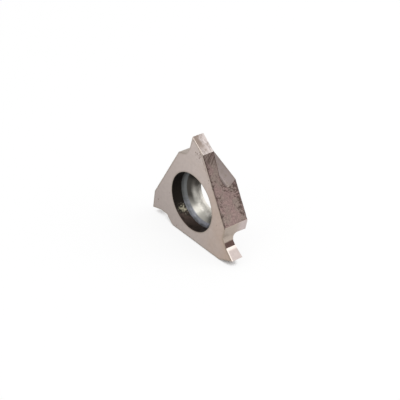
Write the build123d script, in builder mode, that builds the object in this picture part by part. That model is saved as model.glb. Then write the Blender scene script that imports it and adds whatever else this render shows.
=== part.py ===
"""Three-cornered carbide grooving insert, one pressed, sintered and ground piece.

It stands upright on one of its three long sides. The row's axes are:
  +X  to the right, along the side that it stands on
  +Y  along the screw hole, out of the seating face at the back
  +Z  up
The origin is on the axis of the screw hole, in the plane of the seating face.
Each corner is drawn once, in the frame of the upper corner: u runs along the upper left side
towards the corner, which is the way the corner is fed into the work, and v points out of that side.
"""
import os
from math import cos, radians, sin, sqrt, tan

from build123d import *

# Body: an equal-sided triangle
INSCRIBED_CIRCLE = 9.525        # diameter of the circle that touches the three sides
THICKNESS = 3.18                # from the seating face to the front face
CORNER_COUNT = 3
EDGE_BREAK = 0.05               # bevel round the front face, as deep as it is wide

# Corner seen from the front
CUTTING_EDGE_REACH = 6.9        # the cutting edge, measured along u from the hole's axis
CUTTING_EDGE_DROP = 0.49        # how far the cutting edge lies inside the side's plane
RAKE_ANGLE = 15.5               # the rake face falls this much behind the cutting edge
FLANK_CLEARANCE = 6.6           # the end flank falls back this much below the cutting edge
GULLET_DEPTH = 0.90             # the flat of the chip gullet, below the side's plane
CHIP_BREAKER_REACH = 3.25       # where the chip breaker leaves the side, along u
CHIP_BREAKER_ANGLE = 41.0       # how steeply the chip breaker's wall falls to the gullet
CHIP_BREAKER_ROOT_RADIUS = 0.45 # between that wall and the flat of the gullet
CHIP_BREAKER_CREST_RADIUS = 0.25

# Recess at the back of each corner, which leaves the narrow cutting tip at the front
CUTTING_WIDTH = 1.50            # length of the cutting edge, from the front face backwards
TIP_BACK_TAPER = 7.0            # the tip gets this much narrower behind the cutting edge
RECESS_ROOT_RADIUS = 0.75       # between the floor and the wall of the recess
RECESS_WALL_REACH_BY_BREAKER = 4.12 # the wall's foot, measured along u, beside the chip breaker
RECESS_WALL_REACH_BY_SIDE = 4.22    # the same where the recess runs out of the next side
RECESS_WALL_LEAN_BY_BREAKER = 0.0   # the wall stands square beside the chip breaker
RECESS_WALL_LEAN_BY_SIDE = 20.0     # and leans towards the tip where it runs out

# Screw hole
SCREW_CLEARANCE_DIAMETER = 4.4
CLEARANCE_HOLE_DEPTH = 0.45     # from the foot of the conical seat to the seating face
HEAD_RECESS_DIAMETER = 6.9
HEAD_SEAT_ANGLE = 90.0          # full angle of the conical seat
HEAD_SEAT_BLEND = 0.60          # radius between the straight wall and the seat
THROAT_BLEND = 0.50             # radius that rolls the seat into the clearance hole
HOLE_BACK_BEVEL = 0.05

# Worked out from the sizes above
SIDE_OFFSET = INSCRIBED_CIRCLE / 2              # from the hole's axis to each side
SHARP_CORNER_REACH = SIDE_OFFSET * sqrt(3)      # u of the triangle's own corner
CORNER_STEP = 360 / CORNER_COUNT
FRONT = -THICKNESS                              # y of the front face

CORNER_PLANE = Plane(                           # its normal points out of the front face
    origin=(0, 0, 0),
    x_dir=(cos(radians(60)), 0, sin(radians(60))),
    z_dir=(0, -1, 0),
)
OVERCUT = 1.0                                   # how far cutters run past the surfaces they cut


def corner_waste():
    """The area that the chip breaker and the end flank take off one corner."""
    gullet_level = SIDE_OFFSET - GULLET_DEPTH
    edge_level = SIDE_OFFSET - CUTTING_EDGE_DROP
    breaker_run = GULLET_DEPTH / tan(radians(CHIP_BREAKER_ANGLE))
    rake_run = (edge_level - gullet_level) / tan(radians(RAKE_ANGLE))
    flank_drop = SIDE_OFFSET * 2
    flank_run = flank_drop * tan(radians(FLANK_CLEARANCE))

    crest = (CHIP_BREAKER_REACH, SIDE_OFFSET)
    gullet_start = (CHIP_BREAKER_REACH + breaker_run, gullet_level)
    rake_foot = (CUTTING_EDGE_REACH - rake_run, gullet_level)
    cutting_edge = (CUTTING_EDGE_REACH, edge_level)
    flank_foot = (CUTTING_EDGE_REACH - flank_run, edge_level - flank_drop)
    outside_low = (SHARP_CORNER_REACH + OVERCUT, flank_foot[1])
    outside_high = (SHARP_CORNER_REACH + OVERCUT, SIDE_OFFSET + OVERCUT)
    over_side = (CHIP_BREAKER_REACH - OVERCUT, SIDE_OFFSET + OVERCUT)
    along_side = (CHIP_BREAKER_REACH - OVERCUT, SIDE_OFFSET)

    with BuildSketch(Plane.XY) as waste:
        with BuildLine():
            Polyline(
                along_side, crest, gullet_start, rake_foot, cutting_edge, flank_foot,
                outside_low, outside_high, over_side, close=True,
            )
        make_face()
        corners = waste.vertices()
        root = corners.sort_by_distance(gullet_start + (0,))[0]
        fillet(root, CHIP_BREAKER_ROOT_RADIUS)
        crest_corner = waste.vertices().sort_by_distance(crest + (0,))[0]
        fillet(crest_corner, CHIP_BREAKER_CREST_RADIUS)
    return waste.sketch


def recess_section(station, wall_reach, wall_lean):
    """The recess cut square across v: its floor under the tip, its root and its wall."""
    tip_back = FRONT + CUTTING_WIDTH
    outer_reach = SHARP_CORNER_REACH + OVERCUT
    taper = tan(radians(TIP_BACK_TAPER))
    floor_outside = tip_back + (outer_reach - CUTTING_EDGE_REACH) * taper
    floor_at_wall = tip_back - (CUTTING_EDGE_REACH - wall_reach) * taper
    wall_run = (OVERCUT - floor_at_wall) * tan(radians(wall_lean))
    wall_foot = (wall_reach, floor_at_wall)
    # u across and y up, in the plane square to v
    section_plane = Plane(
        origin=CORNER_PLANE.from_local_coords((0, station, 0)),
        x_dir=CORNER_PLANE.x_dir,
        z_dir=CORNER_PLANE.y_dir,
    )
    with BuildSketch(section_plane) as section:
        with BuildLine():
            Polyline(
                (outer_reach, floor_outside),
                wall_foot,
                (wall_reach + wall_run, OVERCUT),
                (outer_reach, OVERCUT),
                close=True,
            )
        make_face()
        root = section.vertices().sort_by_distance(wall_foot + (0,))[0]
        fillet(root, RECESS_ROOT_RADIUS)
    return section.sketch


# One recess, between a section in the side's plane and one past the next side
with BuildPart() as recess:
    loft(
        [
            recess_section(
                SIDE_OFFSET, RECESS_WALL_REACH_BY_BREAKER, RECESS_WALL_LEAN_BY_BREAKER
            ),
            recess_section(
                -SIDE_OFFSET / 2, RECESS_WALL_REACH_BY_SIDE, RECESS_WALL_LEAN_BY_SIDE
            ),
        ],
        ruled=True,
    )

# The screw hole: head recess, conical seat, clearance hole and a bevel at the seating face
with BuildPart() as screw_hole:
    head_radius = HEAD_RECESS_DIAMETER / 2
    screw_radius = SCREW_CLEARANCE_DIAMETER / 2
    seat_end = -CLEARANCE_HOLE_DEPTH
    seat_start = seat_end - (head_radius - screw_radius) / tan(radians(HEAD_SEAT_ANGLE / 2))
    with BuildSketch(Plane.XY) as hole_section:
        with BuildLine():
            Polyline(
                (0, FRONT - OVERCUT),
                (head_radius, FRONT - OVERCUT),
                (head_radius, seat_start),
                (screw_radius, seat_end),
                (screw_radius, -HOLE_BACK_BEVEL),
                (screw_radius + HOLE_BACK_BEVEL + OVERCUT, OVERCUT),
                (0, OVERCUT),
                close=True,
            )
        make_face()
        seat_edge = hole_section.vertices().sort_by_distance((head_radius, seat_start, 0))[0]
        fillet(seat_edge, HEAD_SEAT_BLEND)
        throat_edge = hole_section.vertices().sort_by_distance((screw_radius, seat_end, 0))[0]
        fillet(throat_edge, THROAT_BLEND)
    revolve(axis=Axis.Y)

with BuildPart() as insert_body:
    with BuildSketch(CORNER_PLANE):
        RegularPolygon(SIDE_OFFSET, CORNER_COUNT, major_radius=False, rotation=30)
        with PolarLocations(0, CORNER_COUNT):
            add(corner_waste(), mode=Mode.SUBTRACT)
    extrude(amount=THICKNESS)
    add(screw_hole.part, mode=Mode.SUBTRACT)
    chamfer(insert_body.faces().sort_by(Axis.Y)[0].edges(), EDGE_BREAK)
    for turn in range(CORNER_COUNT):
        add(recess.part.rotate(Axis.Y, turn * CORNER_STEP), mode=Mode.SUBTRACT)

insert_body.part.label = "insert_body"
os.makedirs("parts", exist_ok=True)
export_step(insert_body.part, "parts/insert_body.step")

bounds = insert_body.part.bounding_box()
print("size", bounds.size, "low", bounds.min, "volume", insert_body.part.volume)
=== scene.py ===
import math
from functools import partial

import bmesh
import bpy
import numpy as np
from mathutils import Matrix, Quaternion, Vector, geometry, kdtree, noise


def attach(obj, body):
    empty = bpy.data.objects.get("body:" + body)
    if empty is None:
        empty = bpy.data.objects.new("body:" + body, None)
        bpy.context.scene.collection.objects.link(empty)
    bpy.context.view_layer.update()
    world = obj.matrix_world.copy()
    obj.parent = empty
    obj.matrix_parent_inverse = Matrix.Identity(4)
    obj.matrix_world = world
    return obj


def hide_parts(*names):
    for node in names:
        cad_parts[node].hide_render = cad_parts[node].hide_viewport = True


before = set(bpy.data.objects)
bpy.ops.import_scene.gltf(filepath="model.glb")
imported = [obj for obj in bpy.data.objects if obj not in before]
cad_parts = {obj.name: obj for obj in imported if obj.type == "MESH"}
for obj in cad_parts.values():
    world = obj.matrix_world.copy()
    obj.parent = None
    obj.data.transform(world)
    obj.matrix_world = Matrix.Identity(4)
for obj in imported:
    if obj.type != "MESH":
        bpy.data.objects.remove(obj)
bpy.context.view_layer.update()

bl_info = {
    "name": "Carbide grooving insert",
    "version": (1, 0, 0),
    "blender": (4, 5, 0),
    "location": "3D View > Sidebar > Insert",
    "description": "Dresses the packed grooving insert and sets its studio",
    "category": "Object",
}

MM = 0.001                      # metres; sizes are in millimetres unless they say otherwise

# The insert's sizes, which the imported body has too
INSCRIBED_CIRCLE = 9.525
THICKNESS = 3.18
GULLET_DEPTH = 0.90
EDGE_BREAK = 0.05               # bevel round the front face
HEAD_RECESS_RADIUS = 3.45
CORNERS = 3

SIDE_OFFSET = INSCRIBED_CIRCLE / 2              # from the hole's axis to each long side
GULLET_OFFSET = SIDE_OFFSET - GULLET_DEPTH      # and to the flat of each chip gullet
FRONT = -THICKNESS                              # y of the front face
CORNER_STEP = 2 * math.pi / CORNERS

# Places in the finishes
PORES = (1.1, FRONT, 6.2)               # middle of the pores, below the upper tip
SIDE_NORMAL = (0.866, 0.0, 0.5)         # out of the long side beside them
WALL_GLINT = (-2.45, -2.33, -2.42)      # middle of a painted highlight on the wall of the head recess
WALL_SKIN_AND_SHADE_END = -1.92                   # y where the wall's dark skin, deepened with painted shade, starts to fade
ROUND_END = -1.42                  # and the blue grey round at its foot, with its painted glint
BAND_FADE = 0.1                         # over which both fade

# Meshing
WELD = 0.0001                   # points closer than this are one
PLANE_MATCH = 0.999999          # least cosine between the normals of one flat patch
FLATNESS = 0.001                # how far the points of a flat patch may leave its plane
PLACE_ERROR = 0.01              # within which a face counts as lying where it should
LEAST_PATCH = 0.5               # square millimetres, of the flat patches that are filled again
LONGEST_EDGE = 1.3              # in facets; longer edges are halved
RIM_GAP = 0.55                  # between a patch's rim and its inner points, in facets
DELAUNAY_ERROR = 1e-7           # of the triangulation
NOT_ZERO = 1e-30                # stands in for a length of nought in a division
SPOTS_PER_EDGE = 4              # on each crisp mesh edge, that distances are measured to

# Telling faces apart by their normals
TILT_ERROR = 0.01               # of the part of a normal that points along y
SIDE_MATCH = 0.9999             # least cosine between a long side's normal and its way out
FLANK_MATCH = 0.95              # least, between an end flank's and the way to its corner
RAKE_MATCH = -0.2               # most, between a rake face's and that way
FLANK_REACH = 5.0               # towards the corner, beyond which its end flank lies

# Wear of the sintered sides. The waves are per millimetre
ON_EDGE = 0.001                 # a vertex this near a crisp edge is on it
COARSE_CHIPS, FINE_CHIPS = 2.3, 7.1
CHIP_SHIFT = (5, 1, 3)          # keeps the two patterns of chips apart
CHIP_GAIN = 6
SKIN_WAVES = 1.3

# Studio. The two directions point from the insert to its soft boxes
KEY_DIRECTION = (0.53, 0.54, 0.65)
FRONT_DIRECTION = (0.02, -0.80, 0.60)
BOX_DISTANCE = 0.3              # metres
CAMERA_AZIMUTH, CAMERA_ELEVATION, CAMERA_ROLL = 49.956, 32.937, 2.328     # degrees
CAMERA_TARGET = (0.4785, -2.3710, 0.2380)
CAMERA_DISTANCE = 134.165
FOCAL_LENGTH, SENSOR_WIDTH = 110.634, 36
NEAREST, FARTHEST = 0.001, 10   # metres, that the camera sees
SHADOW_GAP = 1.2                # how near a thing must be to stop the glow of the floor under it


def linear(hex_colour):
    """An sRGB colour such as #B4A8A2 as the linear RGBA that shaders use."""
    levels = [int(hex_colour[i : i + 2], 16) / 255 for i in (1, 3, 5)]
    return (*(c / 12.92 if c <= 0.04045 else ((c + 0.055) / 1.055) ** 2.4 for c in levels), 1.0)


def colour_property(name, hex_colour):
    """A colour that a user can change, under its name and with its default."""
    return bpy.props.FloatVectorProperty(
        name=name, description=f"{name}, sRGB {hex_colour}", subtype="COLOR",
        size=4, min=0, max=1, default=linear(hex_colour),
    )


# ---------------------------------------------------------------- settings

class InsertBodySettings(bpy.types.PropertyGroup):
    facet: bpy.props.FloatProperty(
        name="Facet", description="Length of the mesh's triangles",
        default=0.25 * MM, min=0.1 * MM, unit="LENGTH",
    )
    sharp_angle: bpy.props.FloatProperty(
        name="Sharp angle", description="Edges that turn more than this stay crisp",
        default=math.radians(24), subtype="ANGLE",
    )
    edge_chips: bpy.props.FloatProperty(
        name="Edge chips", description="Deepest nick along the edges of the sintered sides",
        default=0.02 * MM, unit="LENGTH",
    )
    skin_relief: bpy.props.FloatProperty(
        name="Skin relief", description="How far the sintered sides wander below their plane",
        default=0.008 * MM, unit="LENGTH",
    )
    ground: colour_property("Ground faces", "#B4A8A2")
    ground_warm: colour_property("Ground faces, warmer film", "#AF9C8F")
    rim: colour_property("Ground faces, film round the edges", "#8A8070")
    pore: colour_property("Ground faces, pores", "#5C4238")
    sintered: colour_property("Sintered sides", "#897B74")
    sintered_red: colour_property("Sintered sides, redder film", "#8D7975")
    sintered_dark: colour_property("Sintered sides, dark grain", "#4A3C38")
    flank: colour_property("End flanks", "#AEA5A2")
    flank_tan: colour_property("End flanks, tan film", "#776960")
    # Painted highlight along the honing of the cutting edges
    honed_highlight: colour_property("Honed edges, painted highlight", "#DBD1C9")
    breaker: colour_property("Chip breaker", "#B0A398")
    breaker_pink: colour_property("Chip breaker, pink film", "#C6B8B5")
    # Painted shade of the groove along the foot of the rake
    gullet_shade: colour_property("Chip gullet", "#604D48")
    rake: colour_property("Rake face", "#A29793")
    recess: colour_property("Corner recess", "#968A87")
    stain: colour_property("Corner recess, olive stain", "#6B624A")
    # Dark skin of the head recess wall, deepened with painted shade of the hole
    bore_wall: colour_property("Head recess wall", "#2D2926")
    bore_foot: colour_property("Head recess wall, brown film", "#5E504A")
    # Painted highlight low on the head recess wall
    bore_glint: colour_property("Head recess wall, painted glint", "#AEA893")
    seat_round: colour_property("Round at the seat's foot", "#777979")
    # Painted glint, bluish, low on the round at the seat's foot
    seat_blue_glint: colour_property("Round at the seat's foot, bluish", "#A8A9B3")
    # Painted reflection at the seat's inner edge, low in the hole
    seat_edge_reflection: colour_property("Screw seat, painted reflection at the inner edge", "#ECE8E0")
    # Painted shade round the seat's upper outer edge
    seat_ring_shade: colour_property("Screw seat, dark ring", "#45423E")
    # Painted shade and painted light of the screw seat, dark above and bright below
    seat_painted_shade: colour_property("Screw seat, painted shade", "#5A5651")
    seat_painted_light: colour_property("Screw seat, painted light", "#B5B2AA")


class StudioSettings(bpy.types.PropertyGroup):
    floor: colour_property("Floor", "#FFFFFF")
    floor_size: bpy.props.FloatProperty(
        name="Floor size", description="Width of the square floor", default=2.0, unit="LENGTH",
    )
    floor_glow: bpy.props.FloatProperty(
        name="Floor glow", description="Share of the floor's white that no shadow dims",
        default=0.85, subtype="FACTOR", min=0, max=1,
    )
    horizon: bpy.props.FloatProperty(
        name="Horizon", description="Brightness of the walls above eye level", default=0.55,
    )
    ceiling: bpy.props.FloatProperty(
        name="Ceiling", description="Brightness of the room overhead", default=0.95,
    )
    key_size: bpy.props.FloatProperty(
        name="Key box", description="Width of the soft box behind on the right",
        default=0.24, unit="LENGTH",
    )
    key_power: bpy.props.FloatProperty(
        name="Key light", description="Power of the soft box behind on the right",
        default=0.25, subtype="POWER",
    )
    front_size: bpy.props.FloatProperty(
        name="Front box", description="Width of the soft box in front",
        default=0.12, unit="LENGTH",
    )
    front_power: bpy.props.FloatProperty(
        name="Front light", description="Power of the soft box in front",
        default=0.07, subtype="POWER",
    )


# ---------------------------------------------------------------- finishes

def add_node(tree, kind, inputs=None, output=0, **settings):
    """Adds a node with its settings, its values and its links, and gives back an output."""
    node = tree.nodes.new("ShaderNode" + kind)
    for name, value in settings.items():
        setattr(node, name, value)
    for name, value in (inputs or {}).items():
        if isinstance(value, bpy.types.NodeSocket):
            tree.links.new(value, node.inputs[name])
        else:
            node.inputs[name].default_value = value
    return node.outputs[output]


def new_metal(name, roughness):
    """A new metal, with its shader, its way to add nodes, and each point's place in mm."""
    material = bpy.data.materials.new(name)
    material.use_nodes = True
    shader = material.node_tree.nodes["Principled BSDF"]
    shader.inputs["Metallic"].default_value = 1.0
    shader.inputs["Roughness"].default_value = roughness
    add = partial(add_node, material.node_tree)
    place = add("TexCoord", output="Object")
    place = add("Mapping", {"Vector": place, "Scale": (1 / MM,) * 3})
    return material, shader, add, place


def link_to(shader, **outputs):
    """Links each output to the shader's input of that name."""
    for name, output in outputs.items():
        shader.id_data.links.new(output, shader.inputs[name.replace("_", " ")])


def ground_face(settings):
    """Cemented tungsten carbide, surface ground and coated by vapour deposition.

    Grinding leaves it flat and even, so it shines softly; the coating gives it a warm grey that
    drifts a little, painted shade darkens it towards the lower left, and pores of the sinter show
    as pin holes.
    """
    material, shader, add, place = new_metal("ground_coated_carbide", 0.36)
    x = add("SeparateXYZ", {0: place}, "X")
    drift = add("TexNoise", {"Vector": place, "Scale": 1 / 2.5, "Detail": 3.0})
    drift = add("Math", {0: x, 1: 0.12, 2: drift}, operation="MULTIPLY_ADD")
    warm = add("MapRange", {"Value": drift, "From Min": 0.6, "From Max": 1.3})
    colour = add("MixRGB", {"Fac": warm, "Color1": settings.ground, "Color2": settings.ground_warm})
    # Grit of about 0.02 mm would not show, so the cloudiness it leaves is drawn 0.4 mm across
    cloud = add("TexNoise", {"Vector": place, "Scale": 1 / 0.4, "Detail": 4.0})
    shade = add(
        "MapRange", {"Value": cloud, "From Min": 0.3, "From Max": 0.7, "To Min": 0.95, "To Max": 1.05},
    )
    colour = add("MixRGB", {"Fac": 1.0, "Color1": colour, "Color2": shade}, blend_type="MULTIPLY")
    # Painted shade: lighter by about 2 % a millimetre up and to the right, darker towards the lower left,
    # where the face mirrors the shadowed floor
    painted_shade_slope = add("VectorMath", {0: place, 1: (0.016, 0.0, 0.018)}, "Value", operation="DOT_PRODUCT")
    painted_shade_slope = add("Math", {0: painted_shade_slope, 1: 1.0}, operation="ADD")
    colour = add("MixRGB", {"Fac": 1.0, "Color1": colour, "Color2": painted_shade_slope}, blend_type="MULTIPLY")
    # Pores are up to 0.2 mm across, most of them within a millimetre of one spot
    cells = add("TexVoronoi", {"Vector": place, "Scale": 1 / 0.28, "Randomness": 1.0})
    pore = add(
        "MapRange", {"Value": cells, "From Min": 0.42, "From Max": 0.25},
        interpolation_type="SMOOTHSTEP",
    )
    field = add("TexNoise", {"Vector": place, "Scale": 1 / 0.9, "Detail": 2.0})
    near = add("VectorMath", {0: place, 1: PORES}, "Value", operation="DISTANCE")
    near = add("MapRange", {"Value": near, "From Min": 1.1, "From Max": 0.4, "To Max": 0.24})
    field = add("Math", {0: field, 1: near}, operation="ADD")
    where = add("MapRange", {"Value": field, "From Min": 0.66, "From Max": 0.72})
    pore = add("Math", {0: pore, 1: where}, operation="MULTIPLY")
    # A broken line of them follows the long side there, 0.3 mm in from its edge
    line = add("VectorMath", {0: place, 1: SIDE_NORMAL}, "Value", operation="DOT_PRODUCT")
    line = add("Math", {0: line, 1: SIDE_OFFSET - 0.3, 2: 0.08}, operation="COMPARE")
    z = add("SeparateXYZ", {0: place}, "Z")
    high = add("MapRange", {"Value": z, "From Min": 4.2, "From Max": 5.4})
    line = add("Math", {0: line, 1: high}, operation="MULTIPLY")
    broken = add("MapRange", {"Value": cloud, "From Min": 0.42, "From Max": 0.54, "To Max": 0.62})
    line = add("Math", {0: line, 1: broken}, operation="MULTIPLY")
    pore = add("Math", {0: pore, 1: line}, operation="MAXIMUM")
    pore = add("Math", {0: pore, 1: 0.8}, operation="MULTIPLY")
    colour = add("MixRGB", {"Fac": pore, "Color1": colour, "Color2": settings.pore})
    # The film is olive where it rounds an edge
    edge = add("Attribute", output="Fac", attribute_name="from_edge")
    rim = add("MapRange", {"Value": edge, "From Min": 0.22, "From Max": 0.04, "To Max": 0.4})
    colour = add("MixRGB", {"Fac": rim, "Color1": colour, "Color2": settings.rim})
    bump = add("Bump", {"Height": cloud, "Distance": 0.002 * MM, "Strength": 0.5})
    link_to(shader, Base_Color=colour, Normal=bump)
    return material


def sintered_side(settings):
    """Cemented tungsten carbide left as pressed and sintered, under the same coating.

    The skin is grainy and dull, a mauve brown, with dark grain that gathers along the edges and
    dark streaks beside the tip.
    """
    material, shader, add, place = new_metal("sintered_coated_carbide", 0.5)
    y = add("SeparateXYZ", {0: place}, "Y")
    edge = add("Attribute", output="Fac", attribute_name="from_edge")
    along = add("Attribute", output="Fac", attribute_name="along_side")
    drift = add("TexNoise", {"Vector": place, "Scale": 1 / 1.2, "Detail": 3.0})
    drift = add("Math", {0: along, 1: 0.015, 2: drift}, operation="MULTIPLY_ADD")
    red = add("MapRange", {"Value": drift, "From Min": 0.42, "From Max": 0.58})
    colour = add("MixRGB", {"Fac": red, "Color1": settings.sintered, "Color2": settings.sintered_red})
    grain = add("TexNoise", {"Vector": place, "Scale": 1 / 0.16, "Detail": 3.0, "Roughness": 0.6})
    shade = add(
        "MapRange", {"Value": grain, "From Min": 0.3, "From Max": 0.7, "To Min": 0.72, "To Max": 1.26},
    )
    # Lighter towards the chip breaker
    shade = add("Math", {0: along, 1: 0.035, 2: shade}, operation="MULTIPLY_ADD")
    colour = add("MixRGB", {"Fac": 1.0, "Color1": colour, "Color2": shade}, blend_type="MULTIPLY")
    # Dark grain gathers at the edges, towards the seating face and round the middle of the side
    near = add(
        "MapRange", {"Value": edge, "From Min": 0.0, "From Max": 1.0, "To Min": 0.12, "To Max": -0.02},
    )
    back = add(
        "MapRange", {"Value": y, "From Min": -2.2, "From Max": -0.5, "To Min": -0.05, "To Max": 0.045},
    )
    middle = add("Math", {0: along}, operation="ABSOLUTE")
    middle = add(
        "MapRange", {"Value": middle, "From Min": 1.6, "From Max": 2.6, "To Min": 0.03, "To Max": -0.03},
    )
    back = add("Math", {0: back, 1: middle}, operation="ADD")
    mark = add("TexNoise", {"Vector": place, "Scale": 1 / 0.32, "Detail": 2.0, "Distortion": 1.0})
    level = add("Math", {0: mark, 1: near}, operation="ADD")
    level = add("Math", {0: level, 1: back}, operation="ADD")
    dark = add(
        "MapRange", {"Value": level, "From Min": 0.62, "From Max": 0.69},
        interpolation_type="SMOOTHSTEP",
    )
    dark = add("Math", {0: dark, 1: 0.75}, operation="MULTIPLY")
    colour = add("MixRGB", {"Fac": dark, "Color1": colour, "Color2": settings.sintered_dark})
    rim = add("MapRange", {"Value": edge, "From Min": 0.14, "From Max": 0.03, "To Max": 0.5})
    colour = add("MixRGB", {"Fac": rim, "Color1": colour, "Color2": settings.sintered_dark})
    # Beside the end flank the film is dark, in slanting streaks about 0.2 mm wide
    band = add(
        "MapRange", {"Value": along, "From Min": -3.2, "From Max": -4.4},
        interpolation_type="SMOOTHSTEP",
    )
    flat = add("CombineXYZ", {"X": along, "Y": y})
    slant = add(
        "Mapping", {"Vector": flat, "Rotation": (0.0, 0.0, math.radians(-50)), "Scale": (1.2, 0.16, 1.0)},
        vector_type="TEXTURE",
    )
    streak = add("TexNoise", {"Vector": slant, "Scale": 1.0, "Detail": 2.0})
    streak = add(
        "MapRange", {"Value": streak, "From Min": 0.38, "From Max": 0.6, "To Min": 0.1, "To Max": 0.8},
    )
    band = add("Math", {0: band, 1: streak}, operation="MULTIPLY")
    colour = add("MixRGB", {"Fac": band, "Color1": colour, "Color2": settings.sintered_dark})
    bump = add("Bump", {"Height": grain, "Distance": 0.01 * MM, "Strength": 0.8})
    link_to(shader, Base_Color=colour, Normal=bump)
    return material


def end_flank(settings):
    """Cemented tungsten carbide, the tip's end ground with a coarse wheel and coated.

    The wheel leaves slanting scratches that glint. The film is tan in patches, most of all at
    the front near the cutting edge, and the honing of the front edge shows as a bright line of painted
    highlight.
    """
    material, shader, add, place = new_metal("ground_end_flank", 0.38)
    y = add("SeparateXYZ", {0: place}, "Y")
    out = add("Attribute", output="Fac", attribute_name="out_of_side")
    flat = add("CombineXYZ", {"X": out, "Y": y})
    # The wheel's scratches are too fine to show, so they are drawn 0.2 mm wide
    slant = add(
        "Mapping", {"Vector": flat, "Rotation": (0.0, 0.0, math.radians(-10)), "Scale": (1.1, 0.17, 1.0)},
        vector_type="TEXTURE",
    )
    scratch = add("TexNoise", {"Vector": slant, "Scale": 1.0, "Detail": 3.0})
    shade = add(
        "MapRange", {"Value": scratch, "From Min": 0.32, "From Max": 0.62, "To Min": 0.76, "To Max": 1.12},
    )
    colour = add("MixRGB", {"Fac": 1.0, "Color1": settings.flank, "Color2": shade}, blend_type="MULTIPLY")
    cloud = add("TexNoise", {"Vector": place, "Scale": 1 / 0.7, "Detail": 3.0})
    cloud = add("Math", {0: cloud, 1: scratch}, operation="ADD")
    front = add("Math", {0: cloud, 1: -1.6, 2: y}, operation="MULTIPLY_ADD")
    tan = add(
        "MapRange", {"Value": front, "From Min": -3.6, "From Max": -4.4, "To Max": 0.88},
        interpolation_type="SMOOTHSTEP",
    )
    near_edge = add(
        "MapRange", {"Value": out, "From Min": 2.2, "From Max": 3.4, "To Min": 0.25},
        interpolation_type="SMOOTHSTEP",
    )
    tan = add("Math", {0: tan, 1: near_edge}, operation="MULTIPLY")
    colour = add("MixRGB", {"Fac": tan, "Color1": colour, "Color2": settings.flank_tan})
    # Stains are up to 0.3 mm across
    stain = add("TexNoise", {"Vector": place, "Scale": 1 / 0.3, "Detail": 3.0})
    stain = add("MapRange", {"Value": stain, "From Min": 0.54, "From Max": 0.64, "To Max": 0.5})
    colour = add("MixRGB", {"Fac": stain, "Color1": colour, "Color2": settings.flank_tan})
    # Painted highlight: a bright line along the honing of the front edge
    honed_highlight = add(
        "MapRange", {"Value": y, "From Min": FRONT + 0.10, "From Max": FRONT + 0.06},
        interpolation_type="SMOOTHSTEP",
    )
    colour = add("MixRGB", {"Fac": honed_highlight, "Color1": colour, "Color2": settings.honed_highlight})
    bump = add("Bump", {"Height": scratch, "Distance": 0.004 * MM, "Strength": 0.6})
    link_to(shader, Base_Color=colour, Normal=bump)
    return material


def chip_breaker(settings):
    """Cemented tungsten carbide, form ground across the side and coated.

    The form wheel leaves it smooth; the film turns from khaki at the front to pink at the back,
    and along the foot of the rake it is dark brown with painted shade of the groove there.
    """
    material, shader, add, place = new_metal("form_ground_chip_breaker", 0.4)
    y = add("SeparateXYZ", {0: place}, "Y")
    along = add("Attribute", output="Fac", attribute_name="along_side")
    back = add(
        "MapRange", {"Value": y, "From Min": -1.7, "From Max": -0.5},
        interpolation_type="SMOOTHSTEP",
    )
    colour = add("MixRGB", {"Fac": back, "Color1": settings.breaker, "Color2": settings.breaker_pink})
    cloud = add("TexNoise", {"Vector": place, "Scale": 1 / 0.35, "Detail": 4.0})
    # Painted shade: dark brown in the groove along the foot of the rake
    foot = add("Math", {0: cloud, 1: 0.25, 2: along}, operation="MULTIPLY_ADD")
    foot = add(
        "MapRange", {"Value": foot, "From Min": 4.84, "From Max": 5.02},
        interpolation_type="SMOOTHSTEP",
    )
    colour = add("MixRGB", {"Fac": foot, "Color1": colour, "Color2": settings.gullet_shade})
    shade = add(
        "MapRange", {"Value": cloud, "From Min": 0.3, "From Max": 0.7, "To Min": 0.93, "To Max": 1.06},
    )
    colour = add("MixRGB", {"Fac": 1.0, "Color1": colour, "Color2": shade}, blend_type="MULTIPLY")
    bump = add("Bump", {"Height": cloud, "Distance": 0.003 * MM, "Strength": 0.5})
    link_to(shader, Base_Color=colour, Normal=bump)
    return material


def rake_face(settings):
    """Cemented tungsten carbide, the rake ground last with a fine wheel and coated.

    It is the brightest face, pinkish, with a creamy painted highlight along its foot and its front edge.
    """
    material, shader, add, place = new_metal("fine_ground_rake", 0.34)
    y = add("SeparateXYZ", {0: place}, "Y")
    along = add("Attribute", output="Fac", attribute_name="along_side")
    cloud = add("TexNoise", {"Vector": place, "Scale": 1 / 0.3, "Detail": 3.0})
    # Painted highlight, creamy, along the rake's foot and its front edge
    foot = add(
        "MapRange", {"Value": along, "From Min": 5.9, "From Max": 5.6},
        interpolation_type="SMOOTHSTEP",
    )
    front = add(
        "MapRange", {"Value": y, "From Min": FRONT + 0.23, "From Max": FRONT + 0.12},
        interpolation_type="SMOOTHSTEP",
    )
    cream_highlight = add("Math", {0: foot, 1: front}, operation="MAXIMUM")
    cream_highlight = add("Math", {0: cream_highlight, 1: 0.62}, operation="MULTIPLY")
    colour = add("MixRGB", {"Fac": cream_highlight, "Color1": settings.rake, "Color2": settings.honed_highlight})
    shade = add(
        "MapRange", {"Value": cloud, "From Min": 0.3, "From Max": 0.7, "To Min": 0.94, "To Max": 1.05},
    )
    colour = add("MixRGB", {"Fac": 1.0, "Color1": colour, "Color2": shade}, blend_type="MULTIPLY")
    link_to(shader, Base_Color=colour)
    return material


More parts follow.
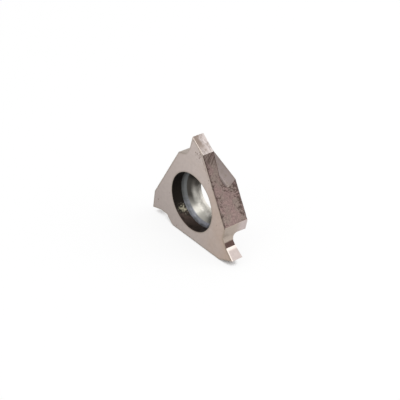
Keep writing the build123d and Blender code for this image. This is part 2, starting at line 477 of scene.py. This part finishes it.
def corner_recess(settings):
    """Cemented tungsten carbide, the recess behind the tip ground by a round-nosed wheel.

    It is smooth and a plain grey, browner towards its edges, with an olive stain at its foot.
    """
    material, shader, add, place = new_metal("ground_corner_recess", 0.4)
    edge = add("Attribute", output="Fac", attribute_name="from_edge")
    along = add("Attribute", output="Fac", attribute_name="along_side")
    cloud = add("TexNoise", {"Vector": place, "Scale": 1 / 0.5, "Detail": 4.0})
    shade = add(
        "MapRange", {"Value": cloud, "From Min": 0.3, "From Max": 0.7, "To Min": 0.94, "To Max": 1.06},
    )
    brown = add(
        "MapRange", {"Value": edge, "From Min": 0.35, "From Max": 0.0, "To Min": 0.0, "To Max": 0.5},
    )
    colour = add("MixRGB", {"Fac": brown, "Color1": settings.recess, "Color2": settings.sintered})
    stain = add("MapRange", {"Value": cloud, "From Min": 0.48, "From Max": 0.75})
    foot = add(
        "MapRange", {"Value": along, "From Min": 4.75, "From Max": 4.5},
        interpolation_type="SMOOTHSTEP",
    )
    stain = add("Math", {0: stain, 1: foot}, operation="MULTIPLY")
    stain = add("Math", {0: stain, 1: 0.45}, operation="MULTIPLY")
    colour = add("MixRGB", {"Fac": stain, "Color1": colour, "Color2": settings.stain})
    # Lighter inwards from the side
    out = add("Attribute", output="Fac", attribute_name="out_of_side")
    light = add(
        "MapRange", {"Value": out, "From Min": 1.5, "From Max": -1.0, "To Min": 0.94, "To Max": 1.11},
    )
    shade = add("Math", {0: shade, 1: light}, operation="MULTIPLY")
    colour = add("MixRGB", {"Fac": 1.0, "Color1": colour, "Color2": shade}, blend_type="MULTIPLY")
    bump = add("Bump", {"Height": cloud, "Distance": 0.003 * MM, "Strength": 0.5})
    link_to(shader, Base_Color=colour, Normal=bump)
    return material


def screw_hole(settings):
    """Cemented tungsten carbide, the hole as pressed and sintered.

    The wall is a near black skin, deepened with painted shade, with a painted highlight low down;
    the round at its foot is a blue grey with a painted glint; the seat has a dark ring of painted
    shade, is painted shaded above and lit below, and its inner edge holds a painted reflection.
    """
    material, shader, add, place = new_metal("pressed_screw_hole", 0.3)
    y = add("SeparateXYZ", {0: place}, "Y")
    z = add("SeparateXYZ", {0: place}, "Z")
    cloud = add("TexNoise", {"Vector": place, "Scale": 1 / 0.6, "Detail": 3.0})
    # Painted light and shade: the seat is dark above and bright below, as if lit from above
    low = add("Math", {0: cloud, 1: 1.2, 2: z}, operation="MULTIPLY_ADD")
    low = add(
        "MapRange", {"Value": low, "From Min": 1.1, "From Max": -1.6},
        interpolation_type="SMOOTHSTEP",
    )
    colour = add("MixRGB", {"Fac": low, "Color1": settings.seat_painted_shade, "Color2": settings.seat_painted_light})
    # Painted shade: a dark band round the seat's outer edge, fading out below
    ring = add(
        "MapRange", {"Value": y, "From Min": -0.8, "From Max": -1.1},
        interpolation_type="SMOOTHSTEP",
    )
    above = add(
        "MapRange", {"Value": z, "From Min": -2.4, "From Max": -1.1},
        interpolation_type="SMOOTHSTEP",
    )
    ring = add("Math", {0: ring, 1: above}, operation="MULTIPLY")
    colour = add("MixRGB", {"Fac": ring, "Color1": colour, "Color2": settings.seat_ring_shade})
    round_foot = add(
        "MapRange", {"Value": y, "From Min": ROUND_END + BAND_FADE, "From Max": ROUND_END},
        interpolation_type="SMOOTHSTEP",
    )
    # Painted glint: the round turns a lighter blue in patches low down
    shine = add("MapRange", {"Value": cloud, "From Min": 0.4, "From Max": 0.6, "To Min": 0.25})
    glint_below = add("MapRange", {"Value": z, "From Min": -1.2, "From Max": -2.3})
    glint_below = add("Math", {0: glint_below, 1: shine}, operation="MULTIPLY")
    blue = add("MixRGB", {"Fac": glint_below, "Color1": settings.seat_round, "Color2": settings.seat_blue_glint})
    colour = add("MixRGB", {"Fac": round_foot, "Color1": colour, "Color2": blue})
    # The wall: a dark skin deepened with painted shade of the hole, browner low down
    wall = add(
        "MapRange", {"Value": y, "From Min": WALL_SKIN_AND_SHADE_END + BAND_FADE, "From Max": WALL_SKIN_AND_SHADE_END},
        interpolation_type="SMOOTHSTEP",
    )
    foot = add("Math", {0: cloud, 1: 3.0, 2: z}, operation="MULTIPLY_ADD")
    foot = add(
        "MapRange", {"Value": foot, "From Min": -0.7, "From Max": -2.0, "To Max": 0.8},
        interpolation_type="SMOOTHSTEP",
    )
    wall_skin_and_shade = add("MixRGB", {"Fac": foot, "Color1": settings.bore_wall, "Color2": settings.bore_foot})
    # A patch of painted highlight low on the wall, broken up by the grain
    spot = add("VectorMath", {0: place, 1: WALL_GLINT}, "Value", operation="DISTANCE")
    grain = add("TexNoise", {"Vector": place, "Scale": 1 / 0.22, "Detail": 2.0})
    spot = add("Math", {0: grain, 1: -2.4, 2: spot}, operation="MULTIPLY_ADD")
    spot = add(
        "MapRange", {"Value": spot, "From Min": -0.55, "From Max": -1.45},
        interpolation_type="SMOOTHSTEP",
    )
    glinting_wall = add("MixRGB", {"Fac": spot, "Color1": wall_skin_and_shade, "Color2": settings.bore_glint})
    colour = add("MixRGB", {"Fac": wall, "Color1": colour, "Color2": glinting_wall})
    # Painted reflection: the seat's inner edge is brightest, and only low in the hole
    inner = add("Math", {0: cloud, 1: 0.9, 2: y}, operation="MULTIPLY_ADD")
    throat_reflection = add(
        "MapRange", {"Value": inner, "From Min": -0.6, "From Max": -0.05},
        interpolation_type="SMOOTHSTEP",
    )
    throat_reflection = add("Math", {0: throat_reflection, 1: low}, operation="MULTIPLY")
    colour = add("MixRGB", {"Fac": throat_reflection, "Color1": colour, "Color2": settings.seat_edge_reflection})
    rough = add("MapRange", {"Value": round_foot, "To Min": 0.28, "To Max": 0.5})
    lip = add("MapRange", {"Value": y, "From Min": -0.8, "From Max": -0.6, "To Max": 0.35})
    rough = add("Math", {0: rough, 1: lip}, operation="ADD")
    bump = add("Bump", {"Height": cloud, "Distance": 0.006 * MM, "Strength": 0.4})
    link_to(shader, Base_Color=colour, Roughness=rough, Normal=bump)
    return material


FINISHES = (
    ground_face, sintered_side, end_flank, chip_breaker, rake_face, corner_recess, screw_hole,
)


# ---------------------------------------------------------------- shape

def body_mesh(node):
    """The node's mesh as a welded bmesh, without the doubled points along its edges."""
    bm = bmesh.new()
    bm.from_mesh(node.data)
    bmesh.ops.remove_doubles(bm, verts=bm.verts, dist=WELD * MM)
    bm.normal_update()
    return bm


def split_long_edges(bm, spacing, passes=5):
    """Halves the edges longer than spacing, keeping triangles."""
    for _ in range(passes):
        long_edges = [e for e in bm.edges if e.calc_length() > spacing]
        bmesh.ops.subdivide_edges(bm, edges=long_edges, cuts=1, use_single_edge=True)
        bmesh.ops.triangulate(bm, faces=bm.faces)


def flat_patches(bm, least_area):
    """Groups of joined faces that lie in one plane, each at least that large."""
    seen, patches = set(), []
    for first in bm.faces:
        if first in seen:
            continue
        normal, level = first.normal.copy(), first.normal.dot(first.verts[0].co)
        seen.add(first)
        patch, rim = [], [first]
        while rim:
            face = rim.pop()
            patch.append(face)
            for edge in face.edges:
                for other in edge.link_faces:
                    if (
                        other not in seen
                        and other.normal.dot(normal) > PLANE_MATCH
                        and all(abs(v.co.dot(normal) - level) < FLATNESS * MM for v in other.verts)
                    ):
                        seen.add(other)
                        rim.append(other)
        if sum(f.calc_area() for f in patch) > least_area:
            patches.append((normal, patch))
    return patches


def inside(points, start, end):
    """Which points lie within the outline whose lines run from start to end."""
    crossed = (start[:, 1] > points[:, 1:2]) != (end[:, 1] > points[:, 1:2])
    rise = np.where(end[:, 1] == start[:, 1], 1, end[:, 1] - start[:, 1])
    cross = start[:, 0] + (points[:, 1:2] - start[:, 1]) / rise * (end[:, 0] - start[:, 0])
    return (crossed & (points[:, 0:1] < cross)).sum(1) % 2 == 1


def clearance(points, start, end):
    """How far each point lies from the outline."""
    run = end - start
    share = ((points[:, None] - start) * run).sum(2) / np.maximum((run**2).sum(1), NOT_ZERO)
    nearest = start + np.clip(share, 0, 1)[..., None] * run
    return np.sqrt(((points[:, None] - nearest) ** 2).sum(2)).min(1)


def even_points(start, end, spacing):
    """Points in rows of even triangles that fill the outline and stay clear of it."""
    outline = np.concatenate((start, end))
    low, high = outline.min(0), outline.max(0)
    rows = np.arange(low[1], high[1], spacing * math.sqrt(3) / 2)
    points = np.array(
        [
            (x + (i % 2) * spacing / 2, y)
            for i, y in enumerate(rows)
            for x in np.arange(low[0], high[0], spacing)
        ]
    )
    points = points[inside(points, start, end)]
    return points[clearance(points, start, end) > spacing * RIM_GAP] if len(points) else points


def sides_of(triangle):
    """The three sides of a triangle, each the same whichever way it runs."""
    return [frozenset(pair) for pair in zip(triangle, triangle[1:] + triangle[:1])]


def rooms(triangles, walls):
    """Groups of triangles that can be reached from each other without crossing a wall."""
    beside = {}
    for number, triangle in enumerate(triangles):
        for side in sides_of(triangle):
            beside.setdefault(side, []).append(number)
    left = set(range(len(triangles)))
    while left:
        room, reached = [], [left.pop()]
        while reached:
            number = reached.pop()
            room.append(number)
            for side in sides_of(triangles[number]):
                for other in () if side in walls else beside[side]:
                    if other in left:
                        left.discard(other)
                        reached.append(other)
        yield room


def refill(bm, normal, patch, spacing):
    """Fills a flat patch again with even triangles about spacing long."""
    members = set(patch)
    rim = [e for f in patch for e in f.edges if len([o for o in e.link_faces if o in members]) == 1]
    rim_verts = list({v for e in rim for v in e.verts})
    across = normal.orthogonal().normalized()
    up = normal.cross(across)
    centre = patch[0].verts[0].co.copy()
    flat = np.array([((v.co - centre).dot(across), (v.co - centre).dot(up)) for v in rim_verts])
    number = {v: i for i, v in enumerate(rim_verts)}
    pairs = [(number[e.verts[0]], number[e.verts[1]]) for e in rim]
    start, end = flat[[a for a, b in pairs]], flat[[b for a, b in pairs]]

    points = [Vector(p / MM) for p in (*flat, *even_points(start, end, spacing))]
    made, _, triangles, sources = geometry.delaunay_2d_cdt(points, pairs, [], 1, DELAUNAY_ERROR)[:4]
    place = {source: i for i, found in enumerate(sources) for source in found}
    walls = {frozenset((place[a], place[b])) for a, b in pairs}
    areas = [abs((made[b] - made[a]).cross(made[c] - made[a])) for a, b, c in triangles]
    kept = []
    for room in rooms(triangles, walls):
        largest = triangles[max(room, key=areas.__getitem__)]
        middle = sum((made[i] for i in largest), Vector((0, 0))) * (MM / 3)
        if inside(np.array([middle]), start, end)[0]:
            kept += room

    verts = {i: rim_verts[f[0]] for i, f in enumerate(sources) if f and f[0] < len(rim_verts)}
    bmesh.ops.delete(bm, geom=patch, context="FACES_KEEP_BOUNDARY")
    for number in kept:
        for i in triangles[number]:
            if i not in verts:
                spot = made[i] * MM
                verts[i] = bm.verts.new(centre + across * spot.x + up * spot.y)
        face = bm.faces.new([verts[i] for i in triangles[number]])
        face.normal_update()
        if face.normal.dot(normal) < 0:
            face.normal_flip()


def corner_directions():
    """For each corner: the way along its side towards it, and the way out of that side."""
    along, out = math.radians(60), math.radians(150)        # of the upper corner, from +X to +Z
    found = []
    for corner in range(CORNERS):
        turn = Quaternion((0, 1, 0), corner * CORNER_STEP)
        found.append(
            (
                turn @ Vector((math.cos(along), 0, math.sin(along))),
                turn @ Vector((math.cos(out), 0, math.sin(out))),
            )
        )
    return found


def finish_of(face, corners):
    """The finish a face has on the real part, and the corner it belongs to."""
    normal, middle = face.normal, face.calc_center_median() / MM
    bevel = EDGE_BREAK + PLACE_ERROR
    square_to_front = abs(normal.y) < TILT_ERROR
    bevelled = abs(normal.y + math.sqrt(0.5)) < TILT_ERROR and middle.y < FRONT + bevel
    tip = max(corners, key=lambda corner: middle.dot(corner[0]))
    side = max(corners, key=lambda corner: normal.dot(corner[1]))
    nearest = max(corners, key=lambda corner: middle.dot(corner[1]))
    if abs(normal.y) > 1 - TILT_ERROR and (middle.y < FRONT + PLACE_ERROR or middle.y > -PLACE_ERROR):
        return ground_face, tip
    if math.hypot(middle.x, middle.z) < HEAD_RECESS_RADIUS + bevel:
        return screw_hole, tip
    if normal.dot(side[1]) > SIDE_MATCH and middle.dot(side[1]) > SIDE_OFFSET - PLACE_ERROR:
        return sintered_side, side
    if bevelled:
        if middle.dot(nearest[1]) > SIDE_OFFSET - bevel:
            return sintered_side, nearest
        return ground_face, tip
    if square_to_front and middle.dot(tip[0]) > FLANK_REACH and normal.dot(tip[0]) > FLANK_MATCH:
        return end_flank, tip
    if square_to_front and middle.dot(tip[1]) > GULLET_OFFSET - PLACE_ERROR:
        if normal.dot(tip[0]) < RAKE_MATCH:
            return rake_face, tip
        return chip_breaker, tip
    return corner_recess, tip


def distance_from_edges(bm, sharp_angle):
    """For each vertex, how far it lies from the nearest crisp outer edge, in millimetres."""
    spots = []
    for edge in bm.edges:
        if edge.calc_face_angle_signed() > sharp_angle:
            a, b = (v.co for v in edge.verts)
            spots += [a.lerp(b, step / SPOTS_PER_EDGE) for step in range(SPOTS_PER_EDGE)]
    tree = kdtree.KDTree(len(spots))
    for i, spot in enumerate(spots):
        tree.insert(spot, i)
    tree.balance()
    return {v: tree.find(v.co)[2] / MM for v in bm.verts}


def weather(bm, finishes, from_edge, settings):
    """Lets the sintered sides wander a little below their plane, and nicks their edges."""
    for vert in bm.verts:
        sides = [f for f in vert.link_faces if finishes[f][0] is sintered_side]
        if not sides:
            continue
        spot = vert.co / MM
        if from_edge[vert] < ON_EDGE:
            bite = noise.noise(spot * COARSE_CHIPS)
            bite *= noise.noise(spot * FINE_CHIPS + Vector(CHIP_SHIFT))
            depth = settings.edge_chips * max(0.0, min(1.0, CHIP_GAIN * bite))
        else:
            depth = settings.skin_relief * (0.5 + 0.5 * noise.noise(spot * SKIN_WAVES))
        inward = sum((f.normal for f in vert.link_faces), Vector()).normalized()
        vert.co -= inward * depth


def stage_object(name, data):
    """Puts a light, a camera or a mesh of the studio in the scene."""
    made = bpy.data.objects.new(name, data)
    bpy.context.scene.collection.objects.link(made)
    return made


# ---------------------------------------------------------------- operators

class INSERT_OT_body(bpy.types.Operator):
    """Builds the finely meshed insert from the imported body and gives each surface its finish"""

    bl_idname = "insert.body"
    bl_label = "Insert body"

    def execute(self, context):
        settings = context.scene.insert_body
        bm = body_mesh(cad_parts["insert_body"])
        split_long_edges(bm, settings.facet * LONGEST_EDGE)
        for normal, patch in flat_patches(bm, LEAST_PATCH * MM**2):
            refill(bm, normal, patch, settings.facet)
        open_edges = sum(not e.is_manifold for e in bm.edges)
        if open_edges:
            raise RuntimeError(f"the insert's mesh has {open_edges} open edges")
        # A new layer renews the vertices and faces, so it comes before anything is kept by them
        edge_layer = bm.verts.layers.float.new("from_edge")
        along_layer = bm.loops.layers.float.new("along_side")
        out_layer = bm.loops.layers.float.new("out_of_side")
        corners = corner_directions()
        finishes = {face: finish_of(face, corners) for face in bm.faces}
        from_edge = distance_from_edges(bm, settings.sharp_angle)
        for edge in bm.edges:
            one, other = (finishes[face][0] for face in edge.link_faces)
            edge.smooth = one is other and edge.calc_face_angle() < settings.sharp_angle
        weather(bm, finishes, from_edge, settings)

        for vert in bm.verts:
            vert[edge_layer] = from_edge[vert]
        for face, (finish, (along, out)) in finishes.items():
            face.smooth = True
            face.material_index = FINISHES.index(finish)
            for loop in face.loops:
                spot = loop.vert.co / MM
                loop[along_layer] = spot.dot(along)
                loop[out_layer] = spot.dot(out)
        mesh = bpy.data.meshes.new("coated_insert")
        bm.to_mesh(mesh)
        bm.free()
        for finish in FINISHES:
            mesh.materials.append(finish(settings))
        insert = bpy.data.objects.new("coated_insert", mesh)
        context.scene.collection.objects.link(insert)
        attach(insert, "root")
        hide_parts("insert_body")
        return {"FINISHED"}


class INSERT_OT_stage(bpy.types.Operator):
    """Sets the pale floor, the soft boxes, the room and the camera"""

    bl_idname = "insert.stage"
    bl_label = "Stage"

    def execute(self, context):
        scene, settings = context.scene, context.scene.insert_studio
        self.camera(scene)
        self.floor(settings)
        self.soft_box("key_box", KEY_DIRECTION, settings.key_size, settings.key_power)
        self.soft_box("front_box", FRONT_DIRECTION, settings.front_size, settings.front_power)
        self.room(scene, settings)
        scene.view_settings.view_transform = "Standard"
        return {"FINISHED"}

    def camera(self, scene):
        """A long lens in front on the right, above the insert."""
        azimuth, elevation = math.radians(CAMERA_AZIMUTH), math.radians(CAMERA_ELEVATION)
        back = Vector(
            (
                math.sin(azimuth) * math.cos(elevation),
                -math.cos(azimuth) * math.cos(elevation),
                math.sin(elevation),
            )
        )
        camera = bpy.data.cameras.new("camera")
        camera.lens, camera.sensor_width = FOCAL_LENGTH, SENSOR_WIDTH
        camera.clip_start, camera.clip_end = NEAREST, FARTHEST
        holder = stage_object("camera", camera)
        holder.location = (Vector(CAMERA_TARGET) + back * CAMERA_DISTANCE) * MM
        holder.rotation_mode = "QUATERNION"
        level = (-back).to_track_quat("-Z", "Y")
        holder.rotation_quaternion = level @ Quaternion((0, 0, 1), math.radians(CAMERA_ROLL))
        scene.camera = holder

    def floor(self, settings):
        """A matt white board. Part of its white glows, so that shadows on it stay faint."""
        half, level = settings.floor_size / 2, -SIDE_OFFSET * MM
        mesh = bpy.data.meshes.new("floor")
        corners = [(x * half, y * half, level) for x, y in ((-1, -1), (1, -1), (1, 1), (-1, 1))]
        mesh.from_pydata(corners, [], [(0, 1, 2, 3)])
        material = bpy.data.materials.new("matt_white_board")
        material.use_nodes = True
        board = material.node_tree.nodes["Principled BSDF"]
        board.inputs["Base Color"].default_value = settings.floor
        board.inputs["Roughness"].default_value = 1.0
        board.inputs["Specular IOR Level"].default_value = 0.0
        add = partial(add_node, material.node_tree)
        seen = [add("LightPath", output=f"Is {ray} Ray") for ray in ("Camera", "Glossy", "Transmission")]
        share = add("Math", {0: seen[0], 1: seen[1]}, operation="MAXIMUM")
        share = add("Math", {0: share, 1: seen[2]}, operation="MAXIMUM")
        # No glow in the narrow gap under an overhanging tip, where no light gets in
        gap = add("AmbientOcclusion", {"Distance": SHADOW_GAP * MM}, "AO", samples=16)
        gap = add(
            "MapRange", {"Value": gap, "From Min": 0.34, "From Max": 0.6, "To Max": settings.floor_glow},
            interpolation_type="SMOOTHSTEP",
        )
        share = add("Math", {0: share, 1: gap}, operation="MULTIPLY")
        glow = add("Emission", {"Color": settings.floor})
        surface = add("MixShader", {0: share, 1: board.outputs["BSDF"], 2: glow})
        output = material.node_tree.nodes["Material Output"]
        material.node_tree.links.new(surface, output.inputs["Surface"])
        mesh.materials.append(material)
        stage_object("floor", mesh)

    def soft_box(self, name, towards, size, power):
        """A square light that faces the screw hole from that way."""
        lamp = bpy.data.lights.new(name, "AREA")
        lamp.shape, lamp.size, lamp.energy = "SQUARE", size, power
        holder = stage_object(name, lamp)
        direction = Vector(towards).normalized()
        holder.location = direction * BOX_DISTANCE
        holder.rotation_euler = (-direction).to_track_quat("-Z", "Y").to_euler()

    def room(self, scene, settings):
        """Walls that are white low down, dimmer above eye level, and lighter again overhead."""
        world = bpy.data.worlds.new("room")
        scene.world = world
        world.use_nodes = True
        background = world.node_tree.nodes["Background"]
        background.inputs["Color"].default_value = linear("#FFFFFF")
        add = partial(add_node, world.node_tree)
        up = add("SeparateXYZ", {0: add("TexCoord", output="Generated")}, "Z")
        wall = add(
            "MapRange",
            {"Value": up, "From Min": 0.16, "From Max": 0.26, "To Min": 1.0, "To Max": settings.horizon},
            interpolation_type="SMOOTHSTEP",
        )
        top = add(
            "MapRange",
            {"Value": up, "From Min": 0.3, "From Max": 0.8, "To Max": settings.ceiling - settings.horizon},
            interpolation_type="SMOOTHSTEP",
        )
        level = add("Math", {0: wall, 1: top}, operation="ADD")
        world.node_tree.links.new(level, background.inputs["Strength"])


class VIEW3D_PT_insert(bpy.types.Panel):
    """Lists the insert's operators, each with its settings"""

    bl_label = "Carbide insert"
    bl_space_type = "VIEW_3D"
    bl_region_type = "UI"
    bl_category = "Insert"

    def draw(self, context):
        for operator, group in ((INSERT_OT_body, "insert_body"), (INSERT_OT_stage, "insert_studio")):
            self.layout.operator(operator.bl_idname)
            settings = getattr(context.scene, group)
            for name in settings.__annotations__:
                self.layout.prop(settings, name)


CLASSES = (InsertBodySettings, StudioSettings, INSERT_OT_body, INSERT_OT_stage, VIEW3D_PT_insert)


def register():
    for cls in CLASSES:
        bpy.utils.register_class(cls)
    bpy.types.Scene.insert_body = bpy.props.PointerProperty(type=InsertBodySettings)
    bpy.types.Scene.insert_studio = bpy.props.PointerProperty(type=StudioSettings)


def unregister():
    del bpy.types.Scene.insert_studio
    del bpy.types.Scene.insert_body
    for cls in reversed(CLASSES):
        bpy.utils.unregister_class(cls)


def main():
    """Builds the insert and its studio."""
    register()
    bpy.ops.insert.body()
    bpy.ops.insert.stage()


if __name__ == "__main__":
    main()
